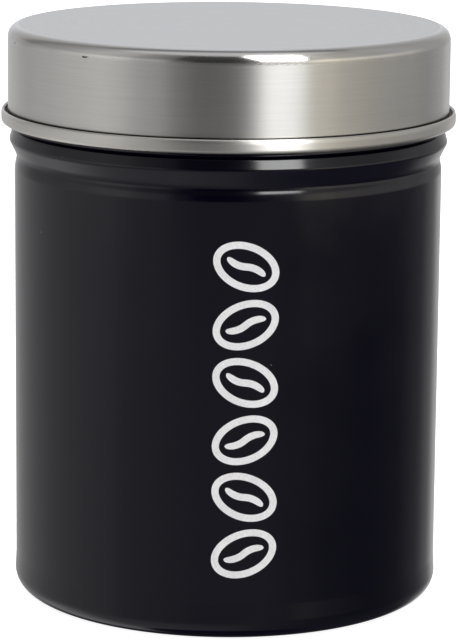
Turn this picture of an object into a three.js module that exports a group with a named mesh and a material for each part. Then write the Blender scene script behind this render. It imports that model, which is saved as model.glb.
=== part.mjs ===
// A round kitchen tin for about a litre of coffee: a lacquered steel can under a push-on steel lid.
// Millimetres, +Z up. The origin is the centre of the ring that the tin stands on.
import * as THREE from 'three';

// The can, a drawn and rolled steel body with an inward curl round its mouth.
const canSheet = 0.5;
const wallRadius = 49.9;
const baseCorner = 4.5;
const baseSwell = 0.2;
const swellHeight = 8.5;
const standingRing = 3;
const baseRise = 1.8;
const mouthHeight = 130.2;
const curlRadius = 1.2;
const curlTurn = 250;

// The stop bead under the lid and the groove below it, rolled into the wall as one wave.
const beadHeight = 107.57;
const beadReach = 1.2;
const beadBend = 1.4;
const shoulderSlope = 16.5;
const shoulderHeight = 109.7;
const browBend = 1;
const browSlope = 40;
const neckEase = 1.2;
const flankSlope = 26.5;
const grooveDepth = 0.4;
const grooveBend = 2.75;
const grooveEase = 8;

// The lid, a cap pressed from steel sheet, with its lower edge rolled outwards into an open hem.
const lidSheet = 0.5;
const tinHeight = 134.1;
const skirtRadius = 51.45;
const crownCorner = 2.8;
const hemRadius = 53;
const hemBottom = 111.55;
const hemTop = 114.6;
const hemBend = 0.3;
const lipTurn = 0.3;

// Inside the crown: a pressed pan, and the silicone ring that is stretched round the pan's wall.
const touchGap = 0.3;
const panSheet = 0.4;
const panWallRadius = 42.4;
const panHeight = 3.5;
const flangeRadius = 46.9;
const flangeThickness = 0.6;
const sealClearance = 0.4;
const panClearance = 0.4;

const segments = 64;

function point(radius, height) {
  return new THREE.Vector2(radius, height);
}

// Points along a round stretch of a section, with the angles in degrees from straight outwards.
function arc(centreRadius, centreHeight, radius, from, to, steps) {
  return Array.from({ length: steps + 1 }, (_, i) => {
    const angle = THREE.MathUtils.degToRad(from + ((to - from) * i) / steps);
    return point(centreRadius + radius * Math.cos(angle), centreHeight + radius * Math.sin(angle));
  });
}

function withoutRepeats(line) {
  return line.filter((p, i) => i === 0 || p.distanceTo(line[i - 1]) > 1e-6);
}

// The other face of a sheet: the line moved to its left by the thickness, mitred at each point.
function otherFace(line, thickness) {
  return line.map((p, i) => {
    const before = line[Math.max(i - 1, 0)];
    const after = line[Math.min(i + 1, line.length - 1)];
    const arriving = p.clone().sub(before).normalize();
    const leaving = after.clone().sub(p).normalize();
    const along = arriving.clone().add(leaving).normalize();
    const edge = arriving.lengthSq() > 0 ? arriving : leaving;
    const reach = thickness / along.dot(edge);
    return point(p.x - along.y * reach, p.y + along.x * reach);
  });
}

// The closed section of a sheet that has the line as one face.
function sheetSection(line, thickness) {
  const face = withoutRepeats(line);
  return [...face, ...otherFace(face, thickness).reverse()];
}

// A solid turned about Z from a section that either starts and ends on the axis or is a closed loop.
function turned(name, section, material) {
  const anticlockwise = THREE.ShapeUtils.isClockWise(section) ? [...section].reverse() : section;
  const geometry = new THREE.LatheGeometry(anticlockwise, segments);
  geometry.rotateX(Math.PI / 2);
  const mesh = new THREE.Mesh(geometry, material);
  mesh.name = name;
  return mesh;
}

function closed(section) {
  return [...section, section[0].clone()];
}

// The wall's wave: the groove, the steep flank, the bead, its long shoulder, and the brow that turns in
// to the neck.
function beadAndGroove() {
  const flank = THREE.MathUtils.degToRad(flankSlope);
  const beadCentre = wallRadius + beadReach - beadBend;
  const grooveCentre = wallRadius - grooveDepth + grooveBend;
  const flankTop = point(beadCentre + beadBend * Math.cos(flank), beadHeight - beadBend * Math.sin(flank));
  const flankFoot = grooveCentre - grooveBend * Math.cos(flank);
  const flankHeight = (flankTop.x - flankFoot) / Math.tan(flank);
  const grooveHeight = flankTop.y - flankHeight - grooveBend * Math.sin(flank);
  const ease = Math.acos(1 - grooveDepth / (grooveBend + grooveEase));
  const easeHeight = grooveHeight - (grooveBend + grooveEase) * Math.sin(ease);
  const easeTurn = THREE.MathUtils.radToDeg(ease);
  const shoulder = THREE.MathUtils.degToRad(shoulderSlope);
  const shoulderFoot = point(
    beadCentre + beadBend * Math.cos(shoulder),
    beadHeight + beadBend * Math.sin(shoulder),
  );
  const shoulderEnd = shoulderFoot.x - (shoulderHeight - shoulderFoot.y) * Math.tan(shoulder);
  const brow = THREE.MathUtils.degToRad(browSlope);
  const browCentre = point(
    shoulderEnd - browBend * Math.cos(shoulder),
    shoulderHeight - browBend * Math.sin(shoulder),
  );
  const browEnd = point(browCentre.x + browBend * Math.cos(brow), browCentre.y + browBend * Math.sin(brow));
  const browFall = (browEnd.x - wallRadius - neckEase * (1 - Math.cos(brow))) / Math.tan(brow);
  const neckHeight = browEnd.y + browFall + neckEase * Math.sin(brow);
  return [
    ...arc(wallRadius - grooveEase, easeHeight, grooveEase, 0, easeTurn, 2),
    ...arc(grooveCentre, grooveHeight, grooveBend, 180 + easeTurn, 180 - flankSlope, 4),
    ...arc(beadCentre, beadHeight, beadBend, -flankSlope, shoulderSlope, 4),
    ...arc(browCentre.x, browCentre.y, browBend, shoulderSlope, browSlope, 3),
    ...arc(wallRadius + neckEase, neckHeight, neckEase, 180 + browSlope, 180, 3),
  ];
}

function canBody() {
  const ringOuter = wallRadius + baseSwell - baseCorner;
  const ringInner = ringOuter - standingRing;
  const outside = [
    point(0, baseRise),
    point(ringInner - baseRise, baseRise),
    point(ringInner, 0),
    ...arc(ringOuter, baseCorner, baseCorner, -90, 0, 5),
    point(wallRadius, swellHeight),
    ...beadAndGroove(),
    ...arc(wallRadius - curlRadius, mouthHeight - curlRadius, curlRadius, 0, curlTurn, 7),
  ];
  const lacquer = new THREE.MeshStandardMaterial({ color: 0x141416, roughness: 0.3, metalness: 0 });
  return turned('can_body', sheetSection(outside, canSheet), lacquer);
}

function lidShell() {
  const hemWall = hemRadius - lidSheet;
  const hemFloor = hemBottom + lidSheet + hemBend;
  const outside = [
    point(0, tinHeight),
    ...arc(skirtRadius - crownCorner, tinHeight - crownCorner, crownCorner, 90, 0, 6),
    ...arc(skirtRadius + hemBend, hemFloor, hemBend, 180, 270, 2),
    ...arc(hemWall - hemBend, hemFloor, hemBend, 270, 360, 2),
    point(hemWall, hemTop - 2 * lipTurn),
    point(hemWall - lipTurn, hemTop - lipTurn),
  ];
  const brushedSteel = new THREE.MeshStandardMaterial({ color: 0xa8a5a0, roughness: 0.38, metalness: 1 });
  return turned('lid_shell', sheetSection(outside, -lidSheet), brushedSteel);
}

function lidPan() {
  const bottom = tinHeight - lidSheet - panClearance - panHeight;
  const section = [
    point(0, bottom),
    point(flangeRadius, bottom),
    point(flangeRadius, bottom + flangeThickness),
    point(panWallRadius, bottom + flangeThickness),
    point(panWallRadius, bottom + panHeight),
    point(panWallRadius - panSheet, bottom + panHeight),
    point(panWallRadius - panSheet, bottom + panSheet),
    point(0, bottom + panSheet),
  ];
  const plainSteel = new THREE.MeshStandardMaterial({ color: 0xb9b9b9, roughness: 0.3, metalness: 1 });
  return turned('lid_pan', section, plainSteel);
}

// The ring nests in the crown's rounded corner and closes down on the curl of the mouth.
function lidSeal() {
  const cornerRadius = crownCorner - lidSheet - touchGap;
  const cornerCentre = skirtRadius - crownCorner;
  const cornerHeight = tinHeight - crownCorner;
  const underside = mouthHeight + sealClearance;
  const inner = panWallRadius + sealClearance;
  const section = [
    point(inner, underside),
    point(cornerCentre + cornerRadius, underside),
    ...arc(cornerCentre, cornerHeight, cornerRadius, 0, 90, 4),
    point(inner, cornerHeight + cornerRadius),
  ];
  const silicone = new THREE.MeshStandardMaterial({ color: 0xdcdcd8, roughness: 0.6, metalness: 0 });
  return turned('lid_seal', closed(section), silicone);
}

const tin = new THREE.Group();
tin.add(canBody(), lidShell(), lidPan(), lidSeal());

export default tin;
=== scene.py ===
# Coffee tin: a black enamelled can under a push-on brushed steel lid, on a white studio table.
# Metres, standing on z = 0, with the printed side towards -Y.
import math
import bpy
from mathutils import Matrix, Vector


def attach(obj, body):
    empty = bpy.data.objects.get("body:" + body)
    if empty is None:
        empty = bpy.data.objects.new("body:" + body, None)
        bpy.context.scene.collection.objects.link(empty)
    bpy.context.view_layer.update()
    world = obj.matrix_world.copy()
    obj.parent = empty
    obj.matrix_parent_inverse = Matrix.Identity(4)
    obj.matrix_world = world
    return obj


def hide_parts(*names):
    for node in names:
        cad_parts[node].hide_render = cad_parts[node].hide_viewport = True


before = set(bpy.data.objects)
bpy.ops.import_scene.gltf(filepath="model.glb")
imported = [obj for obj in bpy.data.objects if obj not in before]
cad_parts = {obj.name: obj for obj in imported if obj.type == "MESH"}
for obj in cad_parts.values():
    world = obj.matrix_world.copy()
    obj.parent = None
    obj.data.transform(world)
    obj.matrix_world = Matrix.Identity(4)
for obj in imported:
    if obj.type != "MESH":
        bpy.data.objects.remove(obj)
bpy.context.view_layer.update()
mm = 0.001
spinSteps = 192   # round every turned piece, enough for a smooth rim close up
weld = 0.000002   # metres, points nearer than this are one point


# small helpers

def toLinear(hexColour):
    # sRGB hex to the linear colour that the shaders want
    values = [int(hexColour[i:i + 2], 16) / 255 for i in (0, 2, 4)]
    linear = [v / 12.92 if v <= 0.04045 else ((v + 0.055) / 1.055) ** 2.4 for v in values]
    return (*linear, 1.0)


def addNode(tree, kind, settings=None, inputs=None):
    # an input is a plain value, or another node's output socket to link
    node = tree.nodes.new(kind)
    for key, value in (settings or {}).items():
        setattr(node, key, value)
    for key, value in (inputs or {}).items():
        if isinstance(value, bpy.types.NodeSocket):
            tree.links.new(value, node.inputs[key])
        else:
            node.inputs[key].default_value = value
    return node


def fillRamp(node, stops):
    ramp = node.color_ramp
    while len(ramp.elements) > 1:
        ramp.elements.remove(ramp.elements[-1])
    for i, (place, colour) in enumerate(stops):
        element = ramp.elements[0] if i == 0 else ramp.elements.new(place)
        element.position = place
        element.color = colour


def newMaterial(name):
    material = bpy.data.materials.new(name)
    material.use_nodes = True
    material.node_tree.nodes.clear()
    return material, material.node_tree


def arcPoints(centre, radius, start, end, steps):
    # angles in degrees from straight outwards, anticlockwise in the (radius, height) section
    line = []
    for i in range(steps + 1):
        angle = math.radians(start + (end - start) * i / steps)
        line.append((centre[0] + radius * math.cos(angle), centre[1] + radius * math.sin(angle)))
    return line


def heldLine(line, hold=0.15, longest=9.0, shortest=1.2):
    # points close to the ends of each long straight run keep the flats flat under smooth shading
    held = [line[0]]
    for before, after in zip(line, line[1:]):
        reach = math.dist(before, after)
        if reach < 1e-5:
            continue
        if reach > shortest:
            inner = reach - 2 * hold
            count = max(1, math.ceil(inner / longest))
            for i in range(count + 1):
                share = (hold + inner * i / count) / reach
                held.append(tuple(a + (b - a) * share for a, b in zip(before, after)))
        held.append(after)
    return held


def deselectAll():
    if bpy.context.object and bpy.context.object.mode != "OBJECT":
        bpy.ops.object.mode_set(mode="OBJECT")
    bpy.ops.object.select_all(action="DESELECT")


def selectOnly(piece):
    deselectAll()
    piece.select_set(True)
    bpy.context.view_layer.objects.active = piece


def applyModifier(piece, kind, **settings):
    selectOnly(piece)
    modifier = piece.modifiers.new(kind.title(), kind)
    for key, value in settings.items():
        setattr(modifier, key, value)
    bpy.ops.object.modifier_apply(modifier=modifier.name)


def startPoint(name, place):
    # a tiny plane merged into the one point that a section is extruded from
    deselectAll()
    bpy.ops.mesh.primitive_plane_add(size=0.0002, location=place)
    piece = bpy.context.object
    piece.name = name
    piece.data.name = name
    bpy.ops.object.transform_apply(location=True, rotation=True, scale=True)
    bpy.ops.object.mode_set(mode="EDIT")
    bpy.ops.mesh.select_mode(type="VERT")
    bpy.ops.mesh.select_all(action="SELECT")
    bpy.ops.mesh.merge(type="CENTER")
    return piece


def turnSection(name, line, sheet=0.0, sharpAngle=38):
    # the section is extruded point by point in the XZ plane, spun round Z, and thickened inwards
    piece = startPoint(name, (line[0][0] * mm, 0, line[0][1] * mm))
    for before, after in zip(line, line[1:]):
        step = ((after[0] - before[0]) * mm, 0, (after[1] - before[1]) * mm)
        bpy.ops.mesh.extrude_region_move(TRANSFORM_OT_translate={"value": step})
    bpy.ops.mesh.select_all(action="SELECT")
    bpy.ops.mesh.spin(steps=spinSteps, angle=math.tau, center=(0, 0, 0), axis=(0, 0, 1))
    bpy.ops.mesh.select_all(action="SELECT")
    bpy.ops.mesh.remove_doubles(threshold=weld)
    bpy.ops.mesh.select_all(action="SELECT")
    bpy.ops.mesh.normals_make_consistent(inside=False)
    bpy.ops.object.mode_set(mode="OBJECT")
    if sheet:
        applyModifier(piece, "SOLIDIFY", thickness=sheet * mm, offset=-1, use_even_offset=True,
                      use_quality_normals=True)
    smoothPiece(piece, sharpAngle)
    return piece


def smoothPiece(piece, sharpAngle):
    selectOnly(piece)
    bpy.ops.object.shade_smooth_by_angle(angle=math.radians(sharpAngle))


def finishPiece(piece, body, material):
    piece.data.materials.clear()
    piece.data.materials.append(material)
    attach(piece, body)


# camera, at the height and tilt of a product shot from a little above
camera = {
    "distance": 0.75758,      # metres from the tin's axis
    "height": 0.21963,
    "tiltDown": 11.615,       # degrees
    "turn": 0.048,
    "roll": 0.512,
    "lens": 183.907,          # mm on a 36 mm sensor
}


def placeCamera(setup):
    data = bpy.data.cameras.new("productCamera")
    data.sensor_width = 36
    data.lens = setup["lens"]
    data.clip_start = 0.01
    data.clip_end = 50
    camObject = bpy.data.objects.new("productCamera", data)
    bpy.context.scene.collection.objects.link(camObject)
    turn = Matrix.Rotation(math.radians(-setup["turn"]), 4, "Z")
    tilt = Matrix.Rotation(math.radians(90 - setup["tiltDown"]), 4, "X")
    roll = Matrix.Rotation(math.radians(setup["roll"]), 4, "Z")
    stand = Matrix.Translation((0, -setup["distance"], setup["height"]))
    camObject.matrix_world = stand @ turn @ tilt @ roll
    bpy.context.scene.camera = camObject


placeCamera(camera)
print("camera placed")


# black baked enamel over steel: a thin glassy coat, almost no colour of its own, so what shows is
# the soft reflection of the room, slightly broken by orange peel, with a few specks of dust
enamel = {
    "colour": "03020e",
    "colourWorn": "040311",
    "dust": "8f9096",
    "roughness": (0.10, 0.17),
    "peelSize": 1.6,          # mm, the ripple that a sprayed and baked coat sets with
    "peelDepth": 0.0012,      # mm
    "swellSize": 26,          # mm, the slow unevenness of the rolled sheet under it
    "swellDepth": 0.012,
    "hazeSize": 18.2,         # mm, patches where wiping has left the coat a little duller
    "hazeRange": (0.3, 0.7),
    "ior": 1.5,
    "dustCell": 5.2,          # mm between specks, before most are left out
    "dustSize": 0.034,        # share of a cell, about 0.18 mm, the smallest that shows
    "dustEdge": 0.6,          # share of a speck that is its solid middle
    "dustKept": 0.80,         # share of the cells that stay clean
}


def enamelMaterial(name, look):
    material, tree = newMaterial(name)
    place = addNode(tree, "ShaderNodeTexCoord").outputs["Object"]
    peel = addNode(tree, "ShaderNodeTexNoise", {}, {
        "Vector": place, "Scale": 1 / (look["peelSize"] * mm), "Detail": 1.5, "Roughness": 0.5})
    swell = addNode(tree, "ShaderNodeTexNoise", {}, {
        "Vector": place, "Scale": 1 / (look["swellSize"] * mm), "Detail": 2.0, "Roughness": 0.5})
    haze = addNode(tree, "ShaderNodeTexNoise", {}, {
        "Vector": place, "Scale": 1 / (look["hazeSize"] * mm), "Detail": 5.0, "Roughness": 0.62})
    cells = addNode(tree, "ShaderNodeTexVoronoi", {"feature": "F1"}, {
        "Vector": place, "Scale": 1 / (look["dustCell"] * mm), "Randomness": 1.0})
    speck = addNode(tree, "ShaderNodeMapRange", {}, {
        "Value": cells.outputs["Distance"], "From Min": look["dustSize"],
        "From Max": look["dustSize"] * look["dustEdge"]})
    pick = addNode(tree, "ShaderNodeSeparateColor", {}, {"Color": cells.outputs["Color"]})
    kept = addNode(tree, "ShaderNodeMath", {"operation": "GREATER_THAN"}, {
        0: pick.outputs["Red"], 1: look["dustKept"]})
    faint = addNode(tree, "ShaderNodeMath", {"operation": "MULTIPLY"}, {
        0: kept.outputs[0], 1: pick.outputs["Green"]})
    dust = addNode(tree, "ShaderNodeMath", {"operation": "MULTIPLY"}, {
        0: speck.outputs["Result"], 1: faint.outputs[0]})
    ground = addNode(tree, "ShaderNodeMix", {"data_type": "RGBA"}, {
        "Factor": haze.outputs["Fac"], "A": toLinear(look["colour"]), "B": toLinear(look["colourWorn"])})
    colour = addNode(tree, "ShaderNodeMix", {"data_type": "RGBA"}, {
        "Factor": dust.outputs[0], "A": ground.outputs["Result"], "B": toLinear(look["dust"])})
    rough = addNode(tree, "ShaderNodeMapRange", {}, {
        "Value": haze.outputs["Fac"], "From Min": look["hazeRange"][0], "From Max": look["hazeRange"][1],
        "To Min": look["roughness"][0], "To Max": look["roughness"][1]})
    peelBump = addNode(tree, "ShaderNodeBump", {}, {
        "Height": peel.outputs["Fac"], "Strength": 1.0, "Distance": look["peelDepth"] * mm})
    swellBump = addNode(tree, "ShaderNodeBump", {}, {
        "Height": swell.outputs["Fac"], "Strength": 1.0, "Distance": look["swellDepth"] * mm,
        "Normal": peelBump.outputs["Normal"]})
    shader = addNode(tree, "ShaderNodeBsdfPrincipled", {}, {
        "Base Color": colour.outputs["Result"], "Roughness": rough.outputs["Result"], "IOR": look["ior"],
        "Normal": swellBump.outputs["Normal"]})
    addNode(tree, "ShaderNodeOutputMaterial", {}, {"Surface": shader.outputs["BSDF"]})
    return material


# stainless steel brushed while the lid turned: fine lines that follow the rim, which smear each
# reflection up and down into upright bands, with a faint grain and small nicks from use
brushedSteel = {
    "colourDull": "dad8d5",
    "colourBright": "e1dfdc",
    "hemHighlightColour": "e6e3de",   # painted highlight: the folded hem is lighter than the skirt, for a bright line along it
    "seamShadeColour": "35322f",   # painted shade: its open fold at the skirt's foot is darkened
    "nickColour": "2a2826",   # small dark nicks high on the left of the skirt
    "nicks": ((-38.2, 131.1, 1.15), (-71.5, 131.2, 0.9), (-78.0, 131.5, 0.9)),  # degrees round, mm up, mm
    "nickRadius": 51.45,      # mm from the axis
    "nickSquash": 4,          # times as wide as it is tall
    "nickRagged": 0.4,        # mm
    "hemRadius": 52.1,        # mm, the hem begins
    "hemBlend": 0.3,
    "seamTop": 115.1,         # mm up, the painted shade ends
    "seamBlend": 0.35,
    "seamRadius": 51.8,
    "roughness": (0.276, 0.305),
    "hemRoughness": 0.36,
    "cornerRoughness": 0.16,  # the press polishes the crown's corner
    "cornerFoot": 130.4,      # mm up, the polish begins
    "cornerBlend": 1.6,
    "crownRoughness": (0.34, 0.38),
    "anisotropy": 0.9,
    "lineSpacing": 0.42,      # mm; real brushing is near 0.08, which is too fine to show
    "lineLength": 14,         # mm
    "lineDepth": 0.0022,      # mm
    "fineLines": 2.3,         # finer lines to each line
    "fineScale": 1.7,
    "grainSize": 0.35,        # mm
    "grainShare": 0.35,       # of the pattern, beside the lines
    "toneRange": (0.75, 1.6),
    "cloudSize": 16.7,        # mm, slow patches of more and less polish
    "cloudRange": (0.15, 0.85),
}


def addNick(tree, place, colour, look, turn, height, reach):
    # a dark fleck with a ragged edge at one place on the skirt
    angle = math.radians(turn)
    out = look["nickRadius"] * mm
    spot = (out * math.sin(angle), -out * math.cos(angle), height * mm)
    away = addNode(tree, "ShaderNodeVectorMath", {"operation": "SUBTRACT"}, {0: place, 1: spot})
    squeezed = addNode(tree, "ShaderNodeVectorMath", {"operation": "MULTIPLY"}, {
        0: away.outputs["Vector"], 1: (1, 1, look["nickSquash"])})
    far = addNode(tree, "ShaderNodeVectorMath", {"operation": "LENGTH"}, {0: squeezed.outputs["Vector"]})
    ragged = addNode(tree, "ShaderNodeTexNoise", {}, {
        "Vector": place, "Scale": 1 / (look["nickRagged"] * mm), "Detail": 1.0})
    edge = addNode(tree, "ShaderNodeMath", {"operation": "MULTIPLY_ADD"}, {
        0: ragged.outputs["Fac"], 1: reach * 1.2 * mm, 2: far.outputs["Value"]})
    mark = addNode(tree, "ShaderNodeMapRange", {}, {
        "Value": edge.outputs[0], "From Min": reach * 1.4 * mm, "From Max": reach * mm})
    return addNode(tree, "ShaderNodeMix", {"data_type": "RGBA"}, {
        "Factor": mark.outputs["Result"], "A": colour, "B": toLinear(look["nickColour"])}).outputs["Result"]


def brushedSteelMaterial(name, look):
    material, tree = newMaterial(name)
    place = addNode(tree, "ShaderNodeTexCoord").outputs["Object"]
    split = addNode(tree, "ShaderNodeSeparateXYZ", {}, {"Vector": place})
    flat = addNode(tree, "ShaderNodeCombineXYZ", {}, {"X": split.outputs["X"], "Y": split.outputs["Y"]})
    radius = addNode(tree, "ShaderNodeVectorMath", {"operation": "LENGTH"}, {0: flat.outputs["Vector"]})
    across = addNode(tree, "ShaderNodeMath", {"operation": "SUBTRACT"}, {
        0: split.outputs["Z"], 1: radius.outputs["Value"]})
    # height minus radius runs evenly over the crown and down the skirt, so the lines go round both
    lineCount = addNode(tree, "ShaderNodeMath", {"operation": "MULTIPLY"}, {
        0: across.outputs[0], 1: 1 / (look["lineSpacing"] * mm)})
    stretch = addNode(tree, "ShaderNodeVectorMath", {"operation": "SCALE"}, {
        0: place, "Scale": 1 / (look["lineLength"] * mm)})
    lines = addNode(tree, "ShaderNodeTexNoise", {"noise_dimensions": "4D"}, {
        "Vector": stretch.outputs["Vector"], "W": lineCount.outputs[0], "Scale": 1.0, "Detail": 0.0})
    edge = addNode(tree, "ShaderNodeMapRange", {"interpolation_type": "SMOOTHSTEP"}, {
        "Value": radius.outputs["Value"], "From Min": look["hemRadius"] * mm,
        "From Max": (look["hemRadius"] + look["hemBlend"]) * mm})
    fineCount = addNode(tree, "ShaderNodeMath", {"operation": "MULTIPLY"}, {
        0: lineCount.outputs[0], 1: look["fineLines"]})
    fineLines = addNode(tree, "ShaderNodeTexNoise", {"noise_dimensions": "4D"}, {
        "Vector": stretch.outputs["Vector"], "W": fineCount.outputs[0], "Scale": look["fineScale"],
        "Detail": 1.0})
    grain = addNode(tree, "ShaderNodeTexNoise", {}, {
        "Vector": place, "Scale": 1 / (look["grainSize"] * mm), "Detail": 2.0})
    cloud = addNode(tree, "ShaderNodeTexNoise", {}, {
        "Vector": place, "Scale": 1 / (look["cloudSize"] * mm), "Detail": 3.0})
    brushing = addNode(tree, "ShaderNodeMath", {"operation": "ADD"}, {
        0: lines.outputs["Fac"], 1: fineLines.outputs["Fac"]})
    brushed = addNode(tree, "ShaderNodeMath", {"operation": "MULTIPLY_ADD"}, {
        0: grain.outputs["Fac"], 1: look["grainShare"], 2: brushing.outputs[0]})
    level = addNode(tree, "ShaderNodeMapRange", {}, {
        "Value": brushed.outputs[0], "From Min": look["toneRange"][0], "From Max": look["toneRange"][1]})
    colour = addNode(tree, "ShaderNodeMix", {"data_type": "RGBA"}, {
        "Factor": level.outputs["Result"], "A": toLinear(look["colourDull"]),
        "B": toLinear(look["colourBright"])})
    # painted highlight: the hem's colour is lightened to stand for a bright line along it
    hemHighlighted = addNode(tree, "ShaderNodeMix", {"data_type": "RGBA"}, {
        "Factor": edge.outputs["Result"], "A": colour.outputs["Result"], "B": toLinear(look["hemHighlightColour"])})
    # painted shade: the skirt is darkened in a thin band just above the hem's lip, inside the seam radius
    low = addNode(tree, "ShaderNodeMapRange", {"interpolation_type": "SMOOTHSTEP"}, {
        "Value": split.outputs["Z"], "From Min": look["seamTop"] * mm,
        "From Max": (look["seamTop"] - look["seamBlend"]) * mm})
    inner = addNode(tree, "ShaderNodeMath", {"operation": "LESS_THAN"}, {
        0: radius.outputs["Value"], 1: look["seamRadius"] * mm})
    seamShadeMask = addNode(tree, "ShaderNodeMath", {"operation": "MULTIPLY"}, {
        0: low.outputs["Result"], 1: inner.outputs[0]})
    seamShaded = addNode(tree, "ShaderNodeMix", {"data_type": "RGBA"}, {
        "Factor": seamShadeMask.outputs[0], "A": hemHighlighted.outputs["Result"], "B": toLinear(look["seamShadeColour"])})
    paintedLightAndNicks = seamShaded.outputs["Result"]
    for turn, height, reach in look["nicks"]:
        paintedLightAndNicks = addNick(tree, place, paintedLightAndNicks, look, turn, height, reach)
    satin = addNode(tree, "ShaderNodeMapRange", {}, {
        "Value": cloud.outputs["Fac"], "From Min": look["cloudRange"][0], "From Max": look["cloudRange"][1],
        "To Min": look["roughness"][0], "To Max": look["roughness"][1]})
    corner = addNode(tree, "ShaderNodeMapRange", {"interpolation_type": "SMOOTHSTEP"}, {
        "Value": split.outputs["Z"], "From Min": look["cornerFoot"] * mm,
        "From Max": (look["cornerFoot"] + look["cornerBlend"]) * mm})
    polished = addNode(tree, "ShaderNodeMix", {"data_type": "FLOAT"}, {
        "Factor": corner.outputs["Result"], "A": satin.outputs["Result"], "B": look["cornerRoughness"]})
    rough = addNode(tree, "ShaderNodeMix", {"data_type": "FLOAT"}, {
        "Factor": edge.outputs["Result"], "A": polished.outputs["Result"], "B": look["hemRoughness"]})
    bump = addNode(tree, "ShaderNodeBump", {}, {
        "Height": brushed.outputs[0], "Strength": 1.0, "Distance": look["lineDepth"] * mm})
    tangent = addNode(tree, "ShaderNodeTangent", {"direction_type": "RADIAL", "axis": "Z"})
    shader = addNode(tree, "ShaderNodeBsdfPrincipled", {}, {
        "Base Color": paintedLightAndNicks, "Metallic": 1.0, "Roughness": rough.outputs["Result"],
        "Anisotropic": look["anisotropy"], "Anisotropic Rotation": 0.25,
        "Tangent": tangent.outputs["Tangent"], "Normal": bump.outputs["Normal"]})
    addNode(tree, "ShaderNodeOutputMaterial", {}, {"Surface": shader.outputs["BSDF"]})
    return material


# the can, one drawn sheet: base, wall, the groove and bead rolled into it, neck and curled mouth
can = {
    "sheet": 0.5,             # all in mm and degrees
    "wallRadius": 49.9,
    "baseCorner": 4.5,
    "baseSwell": 0.2,
    "swellHeight": 8.5,
    "standingRing": 3.0,
    "baseRise": 1.8,
    "pressBend": 0.5,         # the base panel steps down to its ring with no sharp line
    "mouthHeight": 130.2,
    "curlRadius": 1.2,
    "curlTurn": 250,
    "beadHeight": 107.57,
    "beadReach": 1.2,
    "beadBend": 1.4,
    "flankSlope": 26.5,
    "shoulderSlope": 16.5,
    "shoulderHeight": 109.7,
    "browBend": 1.0,
    "browSlope": 40,
    "neckEase": 1.2,
    "grooveDepth": 0.4,
    "grooveBend": 2.75,
    "grooveEase": 8.0,
}


def rollBeadAndGroove(size):
    # the groove, the steep flank, the bead, its long shoulder, and the brow that turns in to the neck
    slope, shoulder = math.radians(size["flankSlope"]), math.radians(size["shoulderSlope"])
    brow = math.radians(size["browSlope"])
    wall, bead, groove = size["wallRadius"], size["beadBend"], size["grooveBend"]
    browBend, neck = size["browBend"], size["neckEase"]
    beadCentre = wall + size["beadReach"] - bead
    grooveCentre = wall - size["grooveDepth"] + groove
    flankTop = (beadCentre + bead * math.cos(slope), size["beadHeight"] - bead * math.sin(slope))
    flankHeight = (flankTop[0] - grooveCentre + groove * math.cos(slope)) / math.tan(slope)
    grooveHeight = flankTop[1] - flankHeight - groove * math.sin(slope)
    both = groove + size["grooveEase"]
    ease = math.acos(1 - size["grooveDepth"] / both)
    easeHeight = grooveHeight - both * math.sin(ease)
    easeTurn = math.degrees(ease)
    shoulderFoot = (beadCentre + bead * math.cos(shoulder), size["beadHeight"] + bead * math.sin(shoulder))
    shoulderEnd = shoulderFoot[0] - (size["shoulderHeight"] - shoulderFoot[1]) * math.tan(shoulder)
    browCentre = (shoulderEnd - browBend * math.cos(shoulder),
                  size["shoulderHeight"] - browBend * math.sin(shoulder))
    browEnd = (browCentre[0] + browBend * math.cos(brow), browCentre[1] + browBend * math.sin(brow))
    browFall = (browEnd[0] - wall - neck * (1 - math.cos(brow))) / math.tan(brow)
    neckHeight = browEnd[1] + browFall + neck * math.sin(brow)
    return [
        *arcPoints((wall - size["grooveEase"], easeHeight), size["grooveEase"], 0, easeTurn, 6),
        *arcPoints((grooveCentre, grooveHeight), groove, 180 + easeTurn, 180 - size["flankSlope"], 12),
        *arcPoints((beadCentre, size["beadHeight"]), bead, -size["flankSlope"], size["shoulderSlope"], 14),
        *arcPoints(browCentre, browBend, size["shoulderSlope"], size["browSlope"], 6),
        *arcPoints((wall + neck, neckHeight), neck, 180 + size["browSlope"], 180, 8),
    ]


def makeCan(size):
    ringOuter = size["wallRadius"] + size["baseSwell"] - size["baseCorner"]
    ringInner = ringOuter - size["standingRing"]
    rise, soft = size["baseRise"], size["pressBend"]
    line = [
        (0, rise),
        (ringInner - rise - soft, rise),
        (ringInner - rise + soft * 0.6, rise - soft * 0.6),
        (ringInner - soft * 0.6, soft * 0.6),
        (ringInner + soft, 0),
        *arcPoints((ringOuter, size["baseCorner"]), size["baseCorner"], -90, 0, 16),
        (size["wallRadius"], size["swellHeight"]),
        *rollBeadAndGroove(size),
        *arcPoints((size["wallRadius"] - size["curlRadius"], size["mouthHeight"] - size["curlRadius"]),
                   size["curlRadius"], 0, size["curlTurn"], 20),
    ]
    piece = turnSection("can", heldLine(line), size["sheet"])
    finishPiece(piece, "can", enamelMaterial("blackBakedEnamel", enamel))
    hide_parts("can_body")
    return piece


canPiece = makeCan(can)
print("can made")


# the lid, a cap pressed from sheet, with its lower edge rolled outwards into an open hem
lid = {
    "sheet": 0.5,             # all in mm
    "top": 134.1,
    "skirtRadius": 51.45,
    "crownCorner": 2.8,
    "hemRadius": 53.0,
    "hemBottom": 111.55,
    "hemTop": 114.6,
    "hemBend": 0.3,
    "lipTurn": 0.3,
}


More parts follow.
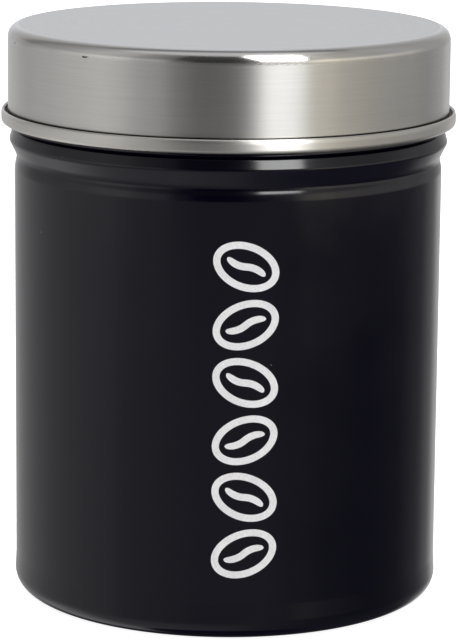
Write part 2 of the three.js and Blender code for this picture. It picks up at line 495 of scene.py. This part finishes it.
def makeLid(size):
    wall = size["hemRadius"] - size["sheet"]
    floor = size["hemBottom"] + size["sheet"] + size["hemBend"]
    bend = size["hemBend"]
    line = [
        (0, size["top"]),
        *arcPoints((size["skirtRadius"] - size["crownCorner"], size["top"] - size["crownCorner"]),
                   size["crownCorner"], 90, 0, 18),
        *arcPoints((size["skirtRadius"] + bend, floor), bend, 180, 270, 5),
        *arcPoints((wall - bend, floor), bend, 270, 360, 5),
        (wall, size["hemTop"] - 2 * size["lipTurn"] - 0.25),
        (wall - size["lipTurn"] * 0.3, size["hemTop"] - 1.5 * size["lipTurn"]),
        (wall - size["lipTurn"], size["hemTop"] - size["lipTurn"]),
    ]
    piece = turnSection("lidCap", heldLine(line), size["sheet"])
    finishPiece(piece, "lid", brushedSteelMaterial("brushedStainlessSteel", brushedSteel))
    # the flat crown is satin, which smears nothing one way more than another, and has no nicks
    satin = brushedSteel["crownRoughness"]
    crown = dict(brushedSteel, anisotropy=0.0, roughness=satin, cornerRoughness=satin[0], nicks=())
    piece.data.materials.append(brushedSteelMaterial("satinStainlessSteel", crown))
    for face in piece.data.polygons:
        face.material_index = int(face.normal.z > 0.999 and face.center.z > (size["top"] - 0.1) * mm)
    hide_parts("lid_shell")


makeLid(lid)
print("lid made")


# screen-printed ink: matt white, a little thin, with the fine grain that the mesh leaves
ink = {
    "colour": "e9e8e9",
    "colourThin": "d6d5d7",
    "roughness": 0.55,
    "ior": 1.48,
    "grainSize": 0.45,        # mm; the mesh is nearer 0.1, which is too fine to show
    "grainDepth": 0.004,
    "patchSize": 4.17,        # mm, where the squeegee left more and less ink
    "patchShare": 0.5,
    "thinRange": (0.55, 0.95),
}


def inkMaterial(name, look):
    material, tree = newMaterial(name)
    place = addNode(tree, "ShaderNodeTexCoord").outputs["Object"]
    grain = addNode(tree, "ShaderNodeTexNoise", {}, {
        "Vector": place, "Scale": 1 / (look["grainSize"] * mm), "Detail": 2.0, "Roughness": 0.6})
    patch = addNode(tree, "ShaderNodeTexNoise", {}, {
        "Vector": place, "Scale": 1 / (look["patchSize"] * mm), "Detail": 2.0})
    amount = addNode(tree, "ShaderNodeMath", {"operation": "MULTIPLY_ADD"}, {
        0: patch.outputs["Fac"], 1: look["patchShare"], 2: grain.outputs["Fac"]})
    thin = addNode(tree, "ShaderNodeMapRange", {}, {
        "Value": amount.outputs[0], "From Min": look["thinRange"][0], "From Max": look["thinRange"][1]})
    colour = addNode(tree, "ShaderNodeMix", {"data_type": "RGBA"}, {
        "Factor": thin.outputs["Result"], "A": toLinear(look["colour"]), "B": toLinear(look["colourThin"])})
    bump = addNode(tree, "ShaderNodeBump", {}, {
        "Height": grain.outputs["Fac"], "Strength": 1.0, "Distance": look["grainDepth"] * mm})
    shader = addNode(tree, "ShaderNodeBsdfPrincipled", {}, {
        "Base Color": colour.outputs["Result"], "Roughness": look["roughness"], "IOR": look["ior"],
        "Normal": bump.outputs["Normal"]})
    addNode(tree, "ShaderNodeOutputMaterial", {}, {"Surface": shader.outputs["BSDF"]})
    return material


# the print, a column of six coffee beans, each an outline with the crease down its middle
beans = {
    "count": 6,
    "bottom": 20.6,           # mm up to the middle of the lowest bean
    "pitch": 13.1,
    "across": 4.2,            # mm to the right of the middle
    "length": 15.2,
    "width": 10.6,
    "stroke": 1.6,
    "creaseReach": 0.56,      # share of the bean's half length
    "creaseBow": 1.3,         # radius of each half of the S, in reaches
    "creaseTaper": 5,         # a higher power keeps the stroke's width longer
    "tilt": 22,               # degrees, one way and the other in turn
    "inkHeight": 0.05,
    "inkSheet": 0.045,        # a hair thinner, so the ink's back stays clear of the wall
    "standOff": 60,           # mm in front of the axis, before the print is pressed back
}


def startFlat(name, kind, **settings):
    deselectAll()
    kind(location=(0, 0, 0), **settings)
    piece = bpy.context.object
    piece.name = name
    bpy.ops.object.mode_set(mode="EDIT")
    bpy.ops.mesh.select_all(action="SELECT")
    return piece


def makeOutline(size):
    # a filled ellipse, inset by the stroke, with its middle taken out
    piece = startFlat("beanOutline", bpy.ops.mesh.primitive_circle_add, vertices=72, radius=0.5,
                      fill_type="NGON")
    bpy.ops.transform.resize(value=(size["length"] * mm, size["width"] * mm, 1))
    bpy.ops.mesh.inset(thickness=size["stroke"] * mm, depth=0)
    bpy.ops.mesh.delete(type="FACE")
    bpy.ops.object.mode_set(mode="OBJECT")
    return piece


def makeCrease(size):
    # an edge as wide as the stroke, spun upwards to the right, then copied half a turn round into an S
    reach = size["length"] / 2 * size["creaseReach"]
    bow = reach * size["creaseBow"]
    turn = math.asin(reach / bow)
    piece = startFlat("beanCrease", bpy.ops.mesh.primitive_plane_add, size=size["stroke"] * mm)
    bpy.ops.mesh.select_mode(type="EDGE")
    bpy.ops.mesh.select_all(action="DESELECT")
    bpy.ops.object.mode_set(mode="OBJECT")
    for edge in piece.data.edges:
        edge.select = all(piece.data.vertices[i].co.x < 0 for i in edge.vertices)
    bpy.ops.object.mode_set(mode="EDIT")
    bpy.ops.mesh.select_all(action="INVERT")
    bpy.ops.mesh.delete(type="EDGE")
    bpy.ops.mesh.select_all(action="SELECT")
    bpy.ops.transform.translate(value=(size["stroke"] * mm / 2, 0, 0))
    bpy.ops.mesh.spin(steps=18, angle=turn, center=(0, bow * mm, 0), axis=(0, 0, 1))
    bpy.ops.object.mode_set(mode="OBJECT")
    pivot = Vector((0, bow * mm, 0))
    for vertex in piece.data.vertices:
        # the stroke narrows to a round end
        arm = vertex.co - pivot
        share = min(1.0, abs(math.atan2(arm.x, -arm.y)) / turn)
        middle = pivot + arm.normalized() * bow * mm
        vertex.co = middle.lerp(vertex.co, math.sqrt(1 - share ** size["creaseTaper"]))
    bpy.ops.object.mode_set(mode="EDIT")
    bpy.ops.mesh.select_all(action="SELECT")
    bpy.ops.mesh.duplicate()
    bpy.ops.transform.rotate(value=math.pi, orient_axis="Z", center_override=(0, 0, 0))
    bpy.ops.mesh.select_all(action="SELECT")
    bpy.ops.mesh.remove_doubles(threshold=weld)
    bpy.ops.object.mode_set(mode="OBJECT")
    end = max((vertex.co for vertex in piece.data.vertices), key=lambda co: co.x)
    piece.data.transform(Matrix.Rotation(-math.atan2(end.y, end.x), 4, "Z"))
    return piece


def joinPieces(pieces, name):
    deselectAll()
    for piece in pieces:
        piece.select_set(True)
    bpy.context.view_layer.objects.active = pieces[0]
    bpy.ops.object.join()
    joined = bpy.context.object
    joined.name = name
    joined.data.name = name
    return joined


def makeBeans(size, wall):
    # flat on the XZ plane in front of the can, then pressed straight back onto its wall
    first = joinPieces([makeOutline(size), makeCrease(size)], "beanPrint")
    copies = []
    for i in range(size["count"]):
        bean = first.copy()
        bean.data = first.data.copy()
        bpy.context.scene.collection.objects.link(bean)
        lean = math.radians(size["tilt"] if i % 2 == 0 else -size["tilt"])
        height = (size["bottom"] + size["pitch"] * i) * mm
        bean.data.transform(Matrix.Rotation(lean, 4, "Z"))
        bean.data.transform(Matrix.Rotation(math.radians(90), 4, "X"))
        bean.data.transform(Matrix.Translation((size["across"] * mm, -size["standOff"] * mm, height)))
        copies.append(bean)
    bpy.data.objects.remove(first)
    piece = joinPieces(copies, "beanPrint")
    applyModifier(piece, "SHRINKWRAP", target=wall, wrap_method="PROJECT", use_project_y=True,
                  use_positive_direction=True, use_negative_direction=False, offset=0)
    bpy.ops.object.mode_set(mode="EDIT")
    bpy.ops.mesh.select_all(action="SELECT")
    bpy.ops.transform.translate(value=(0, -size["inkHeight"] * mm, 0))
    bpy.ops.object.mode_set(mode="OBJECT")
    applyModifier(piece, "SOLIDIFY", thickness=size["inkSheet"] * mm, offset=-1)
    smoothPiece(piece, 40)
    finishPiece(piece, "can", inkMaterial("screenPrintedWhiteInk", ink))


makeBeans(beans, canPiece)
print("beans printed")


# mill-finish stainless: a duller sheet than the lid's, rolled in one direction
millSteel = {
    "colourDull": "b9b9b8",
    "colourBright": "cfcfce",
    "roughness": (0.26, 0.36),
    "lineSpacing": 0.4,       # mm; rolling marks are finer than this, and drawn this coarse to show
    "lineLength": 16.7,       # mm
    "lineDepth": 0.0012,
    "cloudSize": 11.1,        # mm, patches of more and less polish
    "cloudRange": (0.3, 0.7),
}


def millSteelMaterial(name, look):
    material, tree = newMaterial(name)
    place = addNode(tree, "ShaderNodeTexCoord").outputs["Object"]
    along, across = 1 / (look["lineLength"] * mm), 1 / (look["lineSpacing"] * mm)
    rolled = addNode(tree, "ShaderNodeMapping", {}, {"Vector": place, "Scale": (along, across, along)})
    lines = addNode(tree, "ShaderNodeTexNoise", {}, {
        "Vector": rolled.outputs["Vector"], "Scale": 1.0, "Detail": 3.0})
    cloud = addNode(tree, "ShaderNodeTexNoise", {}, {
        "Vector": place, "Scale": 1 / (look["cloudSize"] * mm), "Detail": 3.0})
    colour = addNode(tree, "ShaderNodeMix", {"data_type": "RGBA"}, {
        "Factor": lines.outputs["Fac"], "A": toLinear(look["colourDull"]),
        "B": toLinear(look["colourBright"])})
    rough = addNode(tree, "ShaderNodeMapRange", {}, {
        "Value": cloud.outputs["Fac"], "From Min": look["cloudRange"][0], "From Max": look["cloudRange"][1],
        "To Min": look["roughness"][0], "To Max": look["roughness"][1]})
    bump = addNode(tree, "ShaderNodeBump", {}, {
        "Height": lines.outputs["Fac"], "Strength": 1.0, "Distance": look["lineDepth"] * mm})
    shader = addNode(tree, "ShaderNodeBsdfPrincipled", {}, {
        "Base Color": colour.outputs["Result"], "Metallic": 1.0, "Roughness": rough.outputs["Result"],
        "Normal": bump.outputs["Normal"]})
    addNode(tree, "ShaderNodeOutputMaterial", {}, {"Surface": shader.outputs["BSDF"]})
    return material


# the pan pressed into the lid, with a stiffening ring, which holds the seal by its flange
pan = {
    "bottom": 129.7,          # all in mm
    "wallRadius": 42.4,
    "sheet": 0.4,
    "height": 3.5,
    "flangeRadius": 46.9,
    "flangeThickness": 0.6,
    "ringRadius": 30.0,
    "ringWidth": 2.2,
    "ringRise": 0.9,
}


def makePan(size):
    low, sheet, wall = size["bottom"], size["sheet"], size["wallRadius"]
    ring, half, rise = size["ringRadius"], size["ringWidth"] / 2, size["ringRise"]
    inside = wall - sheet
    flange = low + size["flangeThickness"]
    edge = size["flangeThickness"] / 2
    line = [
        (0, low),
        (ring - half - rise, low),
        (ring - half - rise * 0.3, low + rise * 0.25),
        (ring - half * 0.6, low + rise * 0.85),
        (ring, low + rise),
        (ring + half * 0.6, low + rise * 0.85),
        (ring + half + rise * 0.3, low + rise * 0.25),
        (ring + half + rise, low),
        (size["flangeRadius"] - edge, low),
        *arcPoints((size["flangeRadius"] - edge, low + edge), edge, -90, 90, 8)[1:],
        (wall + 0.3, flange),
        (wall, flange + 0.3),
        (wall, low + size["height"]),
        (inside, low + size["height"]),
        (inside, low + sheet + 0.4),
        (inside - 0.4, low + sheet),
        (ring + half + rise, low + sheet),
        (ring + half * 0.6, low + rise * 0.85 + sheet),
        (ring, low + rise + sheet),
        (ring - half * 0.6, low + rise * 0.85 + sheet),
        (ring - half - rise, low + sheet),
        (0, low + sheet),
    ]
    piece = turnSection("lidInnerPan", heldLine(line))
    finishPiece(piece, "lid", millSteelMaterial("millFinishStainlessSteel", millSteel))
    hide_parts("lid_pan")


makePan(pan)
print("pan made")


# moulded silicone: milky, matt, slightly see-through at its thin lips, and it holds a little dust
silicone = {
    "colour": "dcdcd6",
    "colourDusty": "cbc9c1",
    "roughness": (0.42, 0.58),
    "scatter": 0.25,
    "scatterDepth": 1.0,      # mm
    "ior": 1.41,
    "dustSize": 7.7,          # mm, patches of dust
    "dustRange": (0.45, 0.75),
    "satinRange": (0.3, 0.7),
    "grainSize": 0.6,         # mm; the mould's blasting is finer, and drawn this coarse to show
    "grainDepth": 0.004,
}


def siliconeMaterial(name, look):
    material, tree = newMaterial(name)
    place = addNode(tree, "ShaderNodeTexCoord").outputs["Object"]
    dusty = addNode(tree, "ShaderNodeTexNoise", {}, {
        "Vector": place, "Scale": 1 / (look["dustSize"] * mm), "Detail": 4.0, "Roughness": 0.65})
    grain = addNode(tree, "ShaderNodeTexNoise", {}, {
        "Vector": place, "Scale": 1 / (look["grainSize"] * mm), "Detail": 1.0})
    share = addNode(tree, "ShaderNodeMapRange", {}, {
        "Value": dusty.outputs["Fac"], "From Min": look["dustRange"][0], "From Max": look["dustRange"][1]})
    colour = addNode(tree, "ShaderNodeMix", {"data_type": "RGBA"}, {
        "Factor": share.outputs["Result"], "A": toLinear(look["colour"]), "B": toLinear(look["colourDusty"])})
    rough = addNode(tree, "ShaderNodeMapRange", {}, {
        "Value": dusty.outputs["Fac"], "From Min": look["satinRange"][0], "From Max": look["satinRange"][1],
        "To Min": look["roughness"][0], "To Max": look["roughness"][1]})
    bump = addNode(tree, "ShaderNodeBump", {}, {
        "Height": grain.outputs["Fac"], "Strength": 1.0, "Distance": look["grainDepth"] * mm})
    shader = addNode(tree, "ShaderNodeBsdfPrincipled", {}, {
        "Base Color": colour.outputs["Result"], "Roughness": rough.outputs["Result"], "IOR": look["ior"],
        "Subsurface Weight": look["scatter"], "Subsurface Radius": (1.0, 0.9, 0.8),
        "Subsurface Scale": look["scatterDepth"] * mm, "Normal": bump.outputs["Normal"]})
    addNode(tree, "ShaderNodeOutputMaterial", {}, {"Surface": shader.outputs["BSDF"]})
    return material


# the silicone ring, moulded to fit the crown's corner, with two grooves where it meets the mouth
seal = {
    "inner": 42.8,            # all in mm
    "outer": 50.65,
    "underside": 130.6,
    "top": 133.3,
    "corner": 2.0,
    "edge": 0.35,
    "grooves": (46.3, 48.9),
    "grooveWidth": 0.5,       # to each side of its middle
    "grooveFloor": 0.2,
    "grooveDepth": 0.35,
}


def makeSeal(size):
    low, top, edge = size["underside"], size["top"], size["edge"]
    wide, narrow, deep = size["grooveWidth"], size["grooveFloor"], low + size["grooveDepth"]
    line = [(size["inner"] + edge, low)]
    for centre in size["grooves"]:
        line += [(centre - wide, low), (centre - narrow, deep), (centre + narrow, deep), (centre + wide, low)]
    line += [
        *arcPoints((size["outer"] - edge, low + edge), edge, -90, 0, 5),
        *arcPoints((size["outer"] - size["corner"], top - size["corner"]), size["corner"], 0, 90, 10),
        *arcPoints((size["inner"] + edge, top - edge), edge, 90, 180, 5),
        *arcPoints((size["inner"] + edge, low + edge), edge, 180, 270, 5),
    ]
    piece = turnSection("lidSealRing", heldLine(line))
    finishPiece(piece, "seal", siliconeMaterial("milkySilicone", silicone))
    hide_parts("lid_seal")


makeSeal(seal)
print("seal made")


# the table and the lights
studio = {
    "tableColour": "f4f4f4",
    "tableGlow": 0.93,        # the table is a sheet of white acrylic lit from below
    "tableSize": 12.0,
    "tableDrop": 0.00005,     # metres, so that the tin's foot and the table don't share a plane
    "topLight": {"height": 2.2, "size": 3.0, "power": 30},
    "softbox": {"azimuth": 27.5, "elevation": 35, "distance": 1.0, "width": 0.40, "height": 0.75,
                "radiance": 8.7, "aimHeight": 0.11},
}

# the room that the steel and the enamel mirror, as rings of brightness round the tin
# a ring's levels are (degrees round from the camera, brightness, warmth)
room = {
    "low": (
        (-180, 0.50, 0), (-128, 0.50, 0), (-85, 0.48, 0), (-68, 0.44, 0), (-54, 0.32, 0), (-40, 0.28, 0),
        (-26, 0.25, 0), (-12, 0.22, 0), (16, 0.22, 0), (40, 0.15, 0), (56, 0.10, 0), (80, 0.07, 0),
        (104, 0.08, 0), (126, 0.16, 0), (143, 0.34, 0), (158, 0.70, 0), (180, 0.60, 0)),
    "level": (
        (-180, 0.74, -0.06), (-150, 0.48, 0), (-128, 0.35, 0), (-108, 0.44, 0), (-85, 0.60, 0.01),
        (-68, 0.78, 0.03), (-57, 0.76, 0.02), (-46, 0.52, 0), (-36, 0.46, 0), (-26, 0.14, 0),
        (-15, 0.01, 0), (6, 0.01, 0), (14, 0.08, 0), (32, 0.25, 0.03), (44, 1.05, 0.12),
        (51, 1.12, 0.16), (64, 0.86, 0.12), (86, 0.66, 0.06), (104, 0.54, 0.04), (124, 0.38, 0),
        (143, 0.36, 0), (158, 0.45, 0), (180, 0.74, -0.06)),
    "up": (
        (-180, 0.74, -0.06), (-150, 0.45, 0), (-128, 0.20, 0), (-115, 0.30, 0), (-71, 0.50, 0),
        (-56, 0.44, 0), (-46, 0.28, 0), (-31, 0.18, 0), (-24, 0.05, 0), (4, 0.04, 0), (14, 0.08, 0),
        (40, 0.34, 0.04), (50, 0.56, 0.05), (64, 0.44, 0.04), (86, 0.38, 0.02), (104, 0.42, 0),
        (124, 0.36, 0), (143, 0.36, 0), (158, 0.45, 0), (180, 0.74, -0.06)),
    "down": (
        (-180, 0.04, 0), (-154, 0.06, 0), (-138, 0.80, 0), (-115, 0.85, 0.02), (-80, 0.50, 0.02),
        (-45, 0.45, 0), (0, 0.33, 0), (29, 0.18, 0), (65, 0.10, 0), (100, 0.08, 0), (140, 0.05, 0),
        (180, 0.04, 0)),
    # each ring gives way to the next between two heights of the look direction, from -1 to 1
    "lowToLevel": (-0.16, -0.128),
    "levelToUp": (0.12, 0.24),
    "upToRoof": (0.80, 0.88),
    "toDown": (-0.42, -0.62),
    "toUnder": (-0.91, -0.95),
    "roofFront": "cecfd1",
    "roofBack": "767679",
    "roofEdge": (0.02, 0.20),  # the same, front to back
    "under": "303030",
}


def skyRamp(tree, turn, levels):
    node = addNode(tree, "ShaderNodeValToRGB", {}, {"Fac": turn})
    stops = []
    for degrees, brightness, warmth in levels:
        colour = (brightness * (1 + warmth / 2), brightness, brightness * (1 - warmth), 1.0)
        stops.append((degrees / 360 + 0.5, colour))
    fillRamp(node, stops)
    node.color_ramp.interpolation = "EASE"
    return node.outputs["Color"]


def addBand(tree, height, blend, below, above):
    share = addNode(tree, "ShaderNodeMapRange", {"interpolation_type": "SMOOTHSTEP"}, {
        "Value": height, "From Min": blend[0], "From Max": blend[1]})
    return addNode(tree, "ShaderNodeMix", {"data_type": "RGBA"}, {
        "Factor": share.outputs["Result"], "A": below, "B": above}).outputs["Result"]


def makeWorld(setup):
    # white behind the tin, and the room only where it is mirrored
    world = bpy.data.worlds.new("studioRoom")
    bpy.context.scene.world = world
    world.use_nodes = True
    tree = world.node_tree
    tree.nodes.clear()
    look = addNode(tree, "ShaderNodeTexCoord").outputs["Generated"]
    split = addNode(tree, "ShaderNodeSeparateXYZ", {}, {"Vector": look})
    ahead = addNode(tree, "ShaderNodeMath", {"operation": "MULTIPLY"}, {0: split.outputs["Y"], 1: -1.0})
    angle = addNode(tree, "ShaderNodeMath", {"operation": "ARCTAN2"}, {
        0: split.outputs["X"], 1: ahead.outputs[0]})
    turn = addNode(tree, "ShaderNodeMapRange", {}, {
        "Value": angle.outputs[0], "From Min": -math.pi, "From Max": math.pi}).outputs["Result"]
    low, level, up, down = [skyRamp(tree, turn, setup[ring]) for ring in ("low", "level", "up", "down")]
    height = split.outputs["Z"]
    roof = addBand(tree, split.outputs["Y"], setup["roofEdge"], toLinear(setup["roofFront"]),
                   toLinear(setup["roofBack"]))
    eyeLevel = addBand(tree, height, setup["lowToLevel"], low, level)
    walls = addBand(tree, height, setup["levelToUp"], eyeLevel, up)
    roofed = addBand(tree, height, setup["upToRoof"], walls, roof)
    floored = addBand(tree, height, setup["toDown"], roofed, down)
    whole = addBand(tree, height, setup["toUnder"], floored, toLinear(setup["under"]))
    mirrored = addNode(tree, "ShaderNodeBackground", {}, {"Color": whole, "Strength": 1.0})
    white = addNode(tree, "ShaderNodeBackground", {}, {"Color": (1, 1, 1, 1), "Strength": 1.0})
    rays = addNode(tree, "ShaderNodeLightPath")
    shown = addNode(tree, "ShaderNodeMixShader", {}, {
        0: rays.outputs["Is Camera Ray"], 1: mirrored.outputs[0], 2: white.outputs[0]})
    addNode(tree, "ShaderNodeOutputWorld", {}, {"Surface": shown.outputs[0]})


def makeTable(setup):
    deselectAll()
    bpy.ops.mesh.primitive_plane_add(size=setup["tableSize"], location=(0, 0, -setup["tableDrop"]))
    table = bpy.context.object
    table.name = "table"
    material, tree = newMaterial("whiteTable")
    surface = addNode(tree, "ShaderNodeBsdfDiffuse", {}, {"Color": toLinear(setup["tableColour"])})
    glow = addNode(tree, "ShaderNodeEmission", {}, {"Strength": setup["tableGlow"]})
    both = addNode(tree, "ShaderNodeAddShader", {}, {0: surface.outputs[0], 1: glow.outputs[0]})
    addNode(tree, "ShaderNodeOutputMaterial", {}, {"Surface": both.outputs[0]})
    table.data.materials.append(material)
    table.visible_glossy = False


def addAreaLight(name, place, target, width, height, power):
    data = bpy.data.lights.new(name, "AREA")
    data.shape = "RECTANGLE"
    data.size = width
    data.size_y = height
    data.energy = power
    light = bpy.data.objects.new(name, data)
    bpy.context.scene.collection.objects.link(light)
    light.location = place
    light.rotation_euler = (Vector(target) - Vector(place)).to_track_quat("-Z", "Y").to_euler()
    light.visible_camera = False
    return light


def makeLights(setup):
    box = setup["softbox"]
    azimuth, elevation = math.radians(box["azimuth"]), math.radians(box["elevation"])
    aim = Vector((0, 0, box["aimHeight"]))
    toward = Vector((math.sin(azimuth) * math.cos(elevation), -math.cos(azimuth) * math.cos(elevation),
                     math.sin(elevation)))
    # it shows in the steel and the enamel but doesn't wash out the matt ink
    power = box["radiance"] * math.pi * box["width"] * box["height"]
    stand = aim + toward * box["distance"]
    front = addAreaLight("softbox", stand, aim, box["width"], box["height"], power)
    front.visible_diffuse = False
    top = setup["topLight"]
    over = addAreaLight("topLight", (0, 0, top["height"]), (0, 0, 0), top["size"], top["size"],
                        top["power"])
    over.visible_glossy = False


makeWorld(room)
makeTable(studio)
makeLights(studio)
bpy.context.scene.view_settings.view_transform = "Standard"
print("studio lit")
